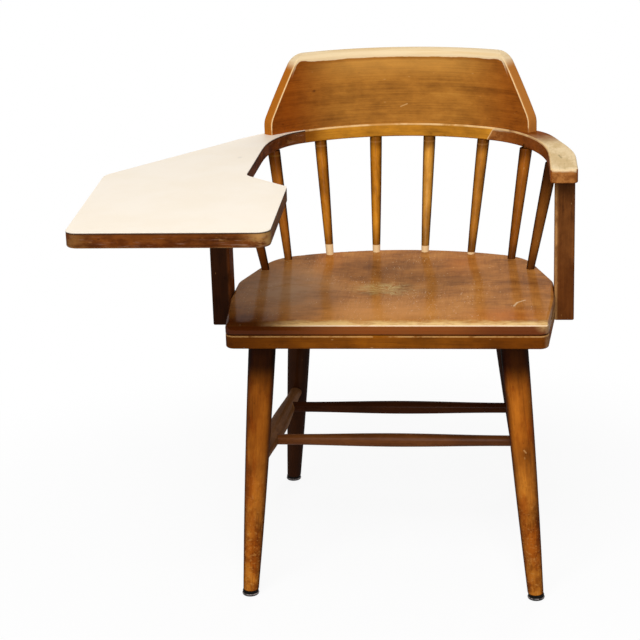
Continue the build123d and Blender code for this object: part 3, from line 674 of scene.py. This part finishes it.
def slantedJoint(tree):
    # thin on the surface, where the plane of the joint cuts it
    turn, slant = math.radians(edgeLook["jointAngle"]), math.radians(edgeLook["jointSlant"])
    place = (bowAxis["x"] + bowAxis["radius"] * math.sin(turn),
             bowAxis["y"] + bowAxis["radius"] * math.cos(turn), (bowUnderside + bowTop) / 2)
    normal = (math.cos(turn) * math.cos(slant), -math.sin(turn) * math.cos(slant), -math.sin(slant))
    away = tree.dot(tree.vector("SUBTRACT", tree.spot, place), normal)
    return tree.step(tree.math("ABSOLUTE", away), *edgeLook["jointFade"])


def bowMaterial():
    look = bowLook
    tree = Tree("bow_wood")
    wood(tree, roundBow(tree), look)
    tree.darken(*look["left"])
    tree.cover(edgeLook["rubTint"], look["rubShare"], rubbedEdge(tree, edgeFlicker(tree)))
    tree.cover(*edgeLook["joint"], slantedJoint(tree))
    return lacquer(tree, look)


def armTop(tree, look, flicker):
    # bare wood with stains and streaks
    stains = tree.noise(**look["stainNoise"])
    darker = tree.step(stains, *look["stainStep"])
    bare = tree.mix(darker, colour(*look["bareTint"]), colour(*look["stainTint"]))
    bare = tree.laid(bare, *look["streak"])
    bare = tree.laid(bare, *look["mark"], tree.step(stains, *look["markStep"]))
    ragged = tree.math("MULTIPLY_ADD", flicker, look["bareReach"], tree.y)
    shown = tree.times(tree.step(ragged, *look["bareFade"]), look["bareFacing"])
    tree.base = tree.mix(shown, tree.base, bare)


def armFront(tree, look):
    front = tree.step(tree.normalY, *look["frontFacing"])
    blotches = tree.noise(**look["blotchNoise"])
    dark = tree.step(blotches, *look["blotchStep"])
    face = tree.mix(dark, colour(*look["frontTint"]), colour(*look["frontDark"]))
    tree.base = tree.mix(tree.times(front, look["frontShare"]), tree.base, face)
    ragged = tree.math("MULTIPLY_ADD", blotches, look["lipReach"], tree.z)
    lip = tree.step(ragged, *(bowTop + rise for rise in look["lipFade"]))
    tree.cover(look["bareTint"], look["lipShare"], front, lip)


def armMaterial():
    look = armLook
    tree = Tree("arm_wood")
    wood(tree, roundBow(tree), look)
    flicker = edgeFlicker(tree)
    armTop(tree, look, flicker)
    tree.cover(edgeLook["rubTint"], look["rubShare"], rubbedEdge(tree, flicker))
    tree.cover(*edgeLook["joint"], slantedJoint(tree))
    armFront(tree, look)
    return lacquer(tree, look)


dress("bow_centre", bowMaterial())
dress("arm_right", armMaterial())

# Crest rail. Sideways is measured round the bow from the middle of the back.
crestLook = {
    **woodLook, **stained((179, 119, 47), 0.7, 1.14), "seed": 8.2, "contrast": 0.2,
    "figure": 0.22, "mottle": 0.42, "fibre": 0.28,
    "figureScale": (5, 60, 60), "mottleScale": (26, 42, 42), "fibreScale": (9, 520, 520),
    # darker and redder towards both ends, partly painted shade, and a painted sheen above the middle
    "left": ((200, 146, 84), 0.9, ("around", -0.09, -0.215)),
    "right": ((216, 174, 124), 0.85, ("around", 0.09, 0.215)),
    "glow": ((220, 160, 76), 0.55, ("z", 0.712, 0.75), ("sideways", 0.19, 0.06)),
    "cloud": ((206, 198, 190), 0.3),
    "cloudPattern": {"scale": (13, 13, 40), "detail": 5, "roughness": 0.65,
                     "limits": (0.48, 0.64)},
    "spot": ((84, 46, 20), 0.8, ("near", (-0.069, 0.312, 0.706), (0.004, 0.02, 0.0034))),
    "scratch": ((222, 180, 120), 0.6, ("line", (0.073, 0.3505, 0.6712), (0.084, 0.3503, 0.6755), 0.0012)),
    # end faces
    "endFacing": (0.75, 0.55), "endSideways": ("sideways", 0.178, 0.186), "endUpright": (0.85, 0.7),
    "end": ((190, 114, 32), 0.65), "rightEnd": ((186, 122, 60), 0.6, ("around", 0, 0.1)),
    "endTopShare": 0.8, "endTopRise": (-0.025, -0.004),
    # the rounding of the front edge, rubbed bright and with a painted highlight
    "edge": ((246, 208, 150), 0.9), "edgeOuter": (0.992, 0.95), "edgeInner": (0.6, 0.8),
    "edgePattern": {"scale": (12, 12, 12), "detail": 3, "limits": (0.44, 0.58)}, "edgeBelow": 0.6,
    "edgeRise": (0.004, 0.01),                          # over the bow
    "flickerPattern": {"scale": 34, "limits": (0.22, 0.42), "low": 0.4},
    # the board's outline, laid flat
    "cornerSideways": 0.162, "cornerRadius": 0.034, "endSlope": 26.5,
    # bare wood along the top, with a wavy lower limit
    "wornShare": 0.95, "wornEnd": ("sideways", 0.2, 0.184),
    "wornSideways": (0.158, 0.19), "wornDepths": (0.0175, 0.0075),
    "wornBorder": 0.0007, "waveNoise": {"scale": 13, "detail": 2, "roughness": 0.5}, "wave": 0.006,
    "fineNoise": {"scale": (90, 90, 400), "detail": 3}, "fine": 0.0018,
    "limit": ((176, 140, 108), 0.55), "limitStart": (-0.0005, 0.001), "limitEnd": (0.0065, 0.0015),
    "limitSideways": ("sideways", 0.185, 0.15),
    "topTint": (238, 214, 172), "topGrain": (224, 190, 136),
    "topPattern": {"scale": (7, 60, 260), "limits": (0.45, 0.68), "high": 0.55},
}


def crestTones(tree, look, grain):
    # darker and redder ends, partly painted shade
    tree.darken(*look["left"])
    tree.darken(*look["right"])
    # painted sheen above the middle
    tree.cover(*look["glow"])
    tree.darken(*look["cloud"], tree.patches(**look["cloudPattern"], grain=grain))
    tree.cover(*look["spot"])
    tree.cover(*look["scratch"])


def crestEnds(tree, look, inner):
    ends = tree.times(tree.step(tree.math("ABSOLUTE", inner), *look["endFacing"]), look["endSideways"],
                      tree.step(tree.math("ABSOLUTE", tree.normalZ), *look["endUpright"]))
    tree.cover(*look["end"], ends)
    tree.cover(*look["rightEnd"], ends)
    high = tree.rise(crestTop, *look["endTopRise"])
    tree.cover(look["topTint"], look["endTopShare"], ends, high)


def crestEdge(tree, look, grain, inner):
    rounding = tree.times(tree.step(inner, *look["edgeOuter"]), tree.step(inner, *look["edgeInner"]))
    below = tree.times(tree.patches(**look["edgePattern"], grain=grain), look["edgeBelow"])
    above = tree.rise(bowTop, *look["edgeRise"])
    # rubbed edge with a painted highlight
    tree.cover(*look["edge"], rounding, tree.math("MAXIMUM", below, above), look["flickerPattern"])


def insideOutline(tree, look):
    # distance in from the board's outline: its level top, its leaning ends and the round corners between
    slope = math.radians(look["endSlope"])
    right = tree.math("SUBTRACT", tree.sideways, look["cornerSideways"])
    above = tree.math("SUBTRACT", tree.z, crestTop - look["cornerRadius"])
    side = tree.total(tree.times(right, math.cos(slope)), tree.times(above, math.sin(slope)))
    past = tree.math("SUBTRACT", tree.times(above, math.cos(slope)), tree.times(right, math.sin(slope)))
    inCorner = tree.times(tree.math("GREATER_THAN", right, 0), tree.math("GREATER_THAN", past, 0))
    corner = tree.times(tree.length(tree.join(right, above, 0)), inCorner)
    reach = tree.math("MAXIMUM", tree.math("MAXIMUM", above, side), corner)
    return tree.math("SUBTRACT", look["cornerRadius"], reach)


def bareCrest(tree, look, grain):
    wave = tree.noise(**look["waveNoise"], grain=tree.join(tree.around, 0, 0))
    ragged = tree.total(insideOutline(tree, look), tree.times(wave, look["wave"]),
                        tree.times(tree.noise(**look["fineNoise"], grain=grain), look["fine"]))
    depth = tree.step(tree.sideways, *look["wornSideways"], *look["wornDepths"])
    past = tree.math("SUBTRACT", ragged, depth)         # how far below the worn wood's limit
    limit = tree.times(tree.step(past, *look["limitStart"]), tree.step(past, *look["limitEnd"]),
                       look["limitSideways"])
    tree.darken(*look["limit"], limit)
    darker = tree.patches(**look["topPattern"], grain=grain)
    bare = tree.mix(darker, colour(*look["topTint"]), colour(*look["topGrain"]))
    shown = tree.times(tree.step(past, look["wornBorder"], -look["wornBorder"]),
                       look["wornEnd"], look["wornShare"])
    tree.base = tree.mix(shown, tree.base, bare)


def crestMaterial():
    look = crestLook
    tree = Tree("crest_wood")
    grain = roundBow(tree)
    wood(tree, grain, look)
    inner = facingIn(tree)
    crestTones(tree, look, grain)
    crestEnds(tree, look, inner)
    crestEdge(tree, look, grain, inner)
    bareCrest(tree, look, grain)
    return lacquer(tree, look)


dress("crest_rail", crestMaterial())
print("bow and crest rail finished")

# Arm posts and the plugs over their screws.
postLook = {
    # the left post's darker stain is partly painted shade under the tablet
    "left": {**woodLook, **stained((66, 36, 16)), "pores": 0.5, "seed": 15},
    "right": {**woodLook, **stained((102, 58, 24)), "pores": 0.5, "seed": 16, "contrast": 0.14,
              "mottle": 0.6, "flecks": 0.2, "fleckSize": (80, 240, 240)},
    "low": ((196, 170, 146), 0.8, ("z", 0.56, 0.44)),
    "inner": {"left": ((120, 66, 30), 0.7), "right": ((200, 150, 92), 0.7)},
    "innerFade": (0.006, 0.0012), "innerMottle": (0.36, 0.56, 0.3, 1),
    # painted shade at the top of each post, under the arm and the tablet
    "top": ((128, 116, 108), 0.85), "topRise": (-0.06, -0.01),
}
plugLook = {**postLook["right"], "rough": 0.45, "seed": 21}


def postMaterial(side):
    look = postLook[side]
    tree = Tree("post_wood_" + side)
    low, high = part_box("arm_post_" + side)
    wood(tree, alongLine(tree, low, (low.x, low.y, high.z)), look)
    tree.darken(*postLook["low"])
    face, inward = (low.x, 1) if side == "right" else (high.x, -1)  # the face that looks at the seat
    edge = tree.step(tree.x, *(face + inward * reach for reach in postLook["innerFade"]))
    tree.cover(*postLook["inner"][side], edge, tree.step(tree.mottle, *postLook["innerMottle"]))
    # painted shade under the arm and the tablet
    tree.darken(*postLook["top"], tree.rise(high.z, *postLook["topRise"]))
    return lacquer(tree, look)


for side in ("left", "right"):
    dress("arm_post_" + side, postMaterial(side))
dress("post_plugs", plainWood("plug_wood", None, plugLook))

# Writing tablet.
coreLook = {
    **woodLook, **stained((104, 54, 18), 0.55, 1.3), "contrast": 0.14, "rough": 0.42, "seed": 12.5,
    "fleckTint": (176, 124, 70), "flecks": 0.12, "fleckSize": (60, 120, 120),
    "patchNoise": {"scale": (26, 26, 60), "detail": 5, "roughness": 0.65, "distortion": 0.3},
    # the two front corners: centre, half sizes, tint, amount
    "corners": (((-0.335, -0.374, 0.631), (0.045, 0.04, 0.06), (132, 94, 50), 0.7),
                ((-0.064, -0.368, 0.631), (0.045, 0.04, 0.06), (186, 138, 80), 0.95)),
    "cornerStep": (0.36, 0.56),
    "side": ((112, 88, 56), 0.5, ("normalX", 0.35, 0.75), ("x", -0.12, -0.06)), "sideStep": (0.36, 0.62),
    "worn": ((158, 112, 58), 0.55), "wornStep": (0.6, 0.7),
    "streak": ((148, 112, 92), 0.5, {"scale": (30, 30, 420), "roughness": 0.65, "limits": (0.56, 0.68)}),
    "stain": ((176, 150, 128), 0.7, ("x", -0.1, -0.16, 0.4, 1)),
    "stainPattern": {"scale": (20, 20, 46), "detail": 5, "roughness": 0.65,
                     "limits": (0.48, 0.62)},
    "edge": ((172, 124, 76), 0.6, ("rise", bowUnderside, 0.0022, 0.0008)), "edgeStep": (0.38, 0.5),
    # a dark line along the top, under the laminate
    "glue": ((44, 28, 18), 0.85, ("rise", coreTop, -0.0016, -0.0008)),
}


def coreMaterial():
    look = coreLook
    tree = Tree("core_wood")
    wood(tree, tree.spot, look)
    patch = tree.noise(**look["patchNoise"])
    for centre, size, tint, amount in look["corners"]:
        tree.cover(tint, amount, tree.near(centre, size), tree.step(patch, *look["cornerStep"]))
    tree.cover(*look["side"], tree.step(patch, *look["sideStep"]))
    tree.cover(*look["worn"], tree.step(patch, *look["wornStep"]))
    tree.cover(*look["streak"])
    tree.darken(*look["stain"], look["stainPattern"])
    tree.cover(*look["edge"], tree.step(patch, *look["edgeStep"]))
    tree.cover(*look["glue"])
    return lacquer(tree, look)


dress("tablet_core", coreMaterial())

laminateLook = {
    "tint": (250, 238, 220), "warm": (248, 235, 215), "cloudNoise": {"scale": 9}, "cloudStep": (0.35, 0.65),
    "line": ((236, 222, 198), 1),                       # fine rubbed scratches
    "linePattern": {"scale": (40, 900, 40), "detail": 2, "roughness": 0.5, "distortion": 0.5,
                    "limits": (0.7, 0.8), "high": 0.1},
    "mark": ((214, 204, 188), 0.5, ("near", (-0.165, 0.09, laminateTop), (0.006, 0.011, 0.005))),
    # the dark backing shows at the sheet's cut edge
    "backing": ((62, 40, 26), 0.9, ("normalZ", 0.6, 0.3), ("rise", laminateTop, -0.0004, -0.0008)),
    "rough": (0.3, 0.7, 0.38, 0.46), "specular": 0.25,
    "pebbleNoise": {"scale": 1400, "detail": 2, "roughness": 0.5}, "bump": 0.05, "bumpDepth": 0.0003,
}


def laminateMaterial():
    look = laminateLook
    tree = Tree("cream_laminate")
    cloud = tree.noise(**look["cloudNoise"])
    tree.base = tree.mix(tree.step(cloud, *look["cloudStep"]), colour(*look["tint"]), colour(*look["warm"]))
    tree.cover(*look["line"], look["linePattern"])
    tree.cover(*look["mark"])
    tree.cover(*look["backing"])
    pebble = tree.noise(**look["pebbleNoise"])
    bump = tree.bump(pebble, look["bump"], look["bumpDepth"])
    return tree.surface(tree.step(cloud, *look["rough"]),
                        {"Specular IOR Level": look["specular"], "Normal": bump})


dress("tablet_laminate", laminateMaterial())
print("tablet finished")

# Glides, cushions, screws and dowels. The first three mix two tints by a noise.
glideLook = {
    "tints": ((9, 7, 6), (170, 158, 154)), "noise": {"scale": 420}, "tintStep": (0.4, 0.6, 0.1, 0.75),
    "stripe": (0.0032, 0.004, 0.0006),                  # the second tint, pale worn enamel that is also a painted highlight, keeps to the rim
    "roughStep": (0.3, 0.7, 0.14, 0.26), "shader": {"Specular IOR Level": 0.12},
}
rubberLook = {
    "tints": ((12, 10, 9), (30, 26, 23)), "noise": {"scale": 300}, "tintStep": (0.4, 0.7),
    "roughStep": (0.3, 0.7, 0.5, 0.7), "shader": {"Specular IOR Level": 0.04},
}
screwLook = {
    "tints": ((168, 168, 170), (196, 196, 198)), "tintStep": (0.3, 0.7),
    "noise": {"scale": (40, 900, 900), "detail": 2, "roughness": 0.5},
    "roughStep": (0.3, 0.7, 0.28, 0.4), "shader": {"Metallic": 1},
}
dowelLook = {**woodLook, **stained((196, 158, 108), 0.86, 1.08), "rough": 0.6}


def fittingMaterial(name, look):
    tree = Tree(name)
    noise = tree.noise(**look["noise"])
    share = tree.step(noise, *look["tintStep"])
    if "stripe" in look:
        share = tree.times(share, tree.stripe(0, *look["stripe"]))
    tree.base = tree.mix(share, *(colour(*tint) for tint in look["tints"]))
    return tree.surface(tree.step(noise, *look["roughStep"]), look["shader"])


enamel, rubber = fittingMaterial("glide_enamel", glideLook), fittingMaterial("black_rubber", rubberLook)
for row, side in legPlaces:
    dress("glide_" + row + "_" + side, enamel)
    dress("cushion_" + row + "_" + side, rubber)
dress("post_screws", fittingMaterial("plated_steel", screwLook))
dowel = plainWood("dowel_wood", None, dowelLook)
for name in ("bow_dowels", "crest_dowels"):
    dress(name, dowel)
print("glides and fixings finished")

# Camera.
cameraSet = {
    "place": (0.24904, -2.64927, 1.23539), "yaw": 6.175, "pitch": 17.331, "roll": -1.854,
    "lens": 101.25, "sensor": 36, "clip": (0.05, 60),
}


def makeCamera():
    yaw, pitch, roll = (math.radians(cameraSet[key]) for key in ("yaw", "pitch", "roll"))
    ahead = Vector((-math.sin(yaw) * math.cos(pitch), math.cos(yaw) * math.cos(pitch), -math.sin(pitch)))
    right = Vector((math.cos(yaw), math.sin(yaw), 0))
    up = right.cross(ahead)
    tiltedRight = right * math.cos(roll) + up * math.sin(roll)
    tiltedUp = up * math.cos(roll) - right * math.sin(roll)
    data = bpy.data.cameras.new("camera")
    data.lens, data.sensor_width = cameraSet["lens"], cameraSet["sensor"]
    data.clip_start, data.clip_end = cameraSet["clip"]
    camera = bpy.data.objects.new("camera", data)
    bpy.context.scene.collection.objects.link(camera)
    turn = Matrix((tiltedRight, tiltedUp, -ahead)).transposed()
    camera.matrix_world = Matrix.Translation(cameraSet["place"]) @ turn.to_4x4()
    bpy.context.scene.camera = camera


makeCamera()

# Studio: a pale floor that turns to plain white away from the chair, a white world and soft lamps.
studio = {
    "floorSize": 14, "floorDrop": 0.0005, "floorTint": (190, 188, 184), "seenTint": (0.95, 0.95, 0.95, 1),
    "shadowShare": 0.1, "shadowReach": (1.05, 0.6), "middle": (0.02, 0.02, 0), "ambient": 0.33,
    "lamps": (
        # name, place, aim, width, height, power
        ("overheadSoftbox", (-0.5, -2.6, 3.5), (0.02, 0.05, 0.45), 2.2, 1.8, 98),
        ("frontSoftbox", (0.5, -3.6, 1.7), (0.02, 0, 0.45), 1.2, 1.2, 42),
        ("rearSoftbox", (0.9, 3.4, 2.6), (0.02, 0.1, 0.45), 2, 1.6, 34),
    ),
}
white = (1, 1, 1, 1)


def makeFloor():
    mesh = bpy.data.meshes.new("floor")
    half = studio["floorSize"] / 2
    mesh.from_pydata([(-half, -half, 0), (half, -half, 0), (half, half, 0), (-half, half, 0)], [],
                     [(0, 1, 2, 3)])
    floor = bpy.data.objects.new("floor", mesh)
    floor.location.z = -studio["floorDrop"]
    bpy.context.scene.collection.objects.link(floor)
    mesh.materials.append(floorMaterial())


def floorMaterial():
    # lamps light plain paper, while the camera sees white with a share of the chair's shadow near it
    tree = Tree("floor_paper")
    tree.nodes.remove(tree.shader)
    plain = tree.add("ShaderNodeBsdfDiffuse", colour(*studio["floorTint"])).outputs[0]
    pale = tree.add("ShaderNodeBsdfDiffuse", studio["seenTint"]).outputs[0]
    glow = tree.add("ShaderNodeEmission", white, 1).outputs[0]
    away = tree.length(tree.vector("SUBTRACT", tree.spot, studio["middle"]))
    share = tree.step(away, *studio["shadowReach"], 0, studio["shadowShare"])
    seen = tree.add("ShaderNodeMixShader", share, glow, pale).outputs[0]
    rays = tree.add("ShaderNodeLightPath").outputs
    shown = tree.math("MAXIMUM", rays["Is Camera Ray"], rays["Is Glossy Ray"])
    shown = tree.math("MAXIMUM", shown, rays["Is Transmission Ray"])
    both = tree.add("ShaderNodeMixShader", shown, plain, seen).outputs[0]
    tree.links.new(both, tree.output.inputs["Surface"])
    return tree.material


def makeWorld():
    # white where it is seen or mirrored, dimmer as the light that falls on the chair
    world = bpy.data.worlds.new("studio")
    world.use_nodes = True
    bpy.context.scene.world = world
    tree = world.node_tree
    background = tree.nodes["Background"]
    rays = tree.nodes.new("ShaderNodeLightPath")
    shown = rays.outputs["Is Camera Ray"]
    for other in ("Is Glossy Ray", "Is Transmission Ray"):
        either = tree.nodes.new("ShaderNodeMath")
        either.operation = "MAXIMUM"
        tree.links.new(shown, either.inputs[0])
        tree.links.new(rays.outputs[other], either.inputs[1])
        shown = either.outputs[0]
    strength = tree.nodes.new("ShaderNodeMapRange")
    tree.links.new(shown, strength.inputs["Value"])
    strength.inputs["To Min"].default_value = studio["ambient"]
    strength.inputs["To Max"].default_value = 1
    background.inputs["Color"].default_value = white
    tree.links.new(strength.outputs[0], background.inputs["Strength"])


def makeLamps():
    for name, place, aim, width, height, power in studio["lamps"]:
        data = bpy.data.lights.new(name, "AREA")
        data.shape = "RECTANGLE"
        data.size, data.size_y = width, height
        data.energy = power
        lamp = bpy.data.objects.new(name, data)
        lamp.location = place
        lamp.rotation_mode = "QUATERNION"
        lamp.rotation_quaternion = (Vector(aim) - Vector(place)).to_track_quat("-Z", "Y")
        bpy.context.scene.collection.objects.link(lamp)


makeFloor()
makeWorld()
makeLamps()
bpy.context.scene.view_settings.view_transform = "Standard"
print("studio ready")
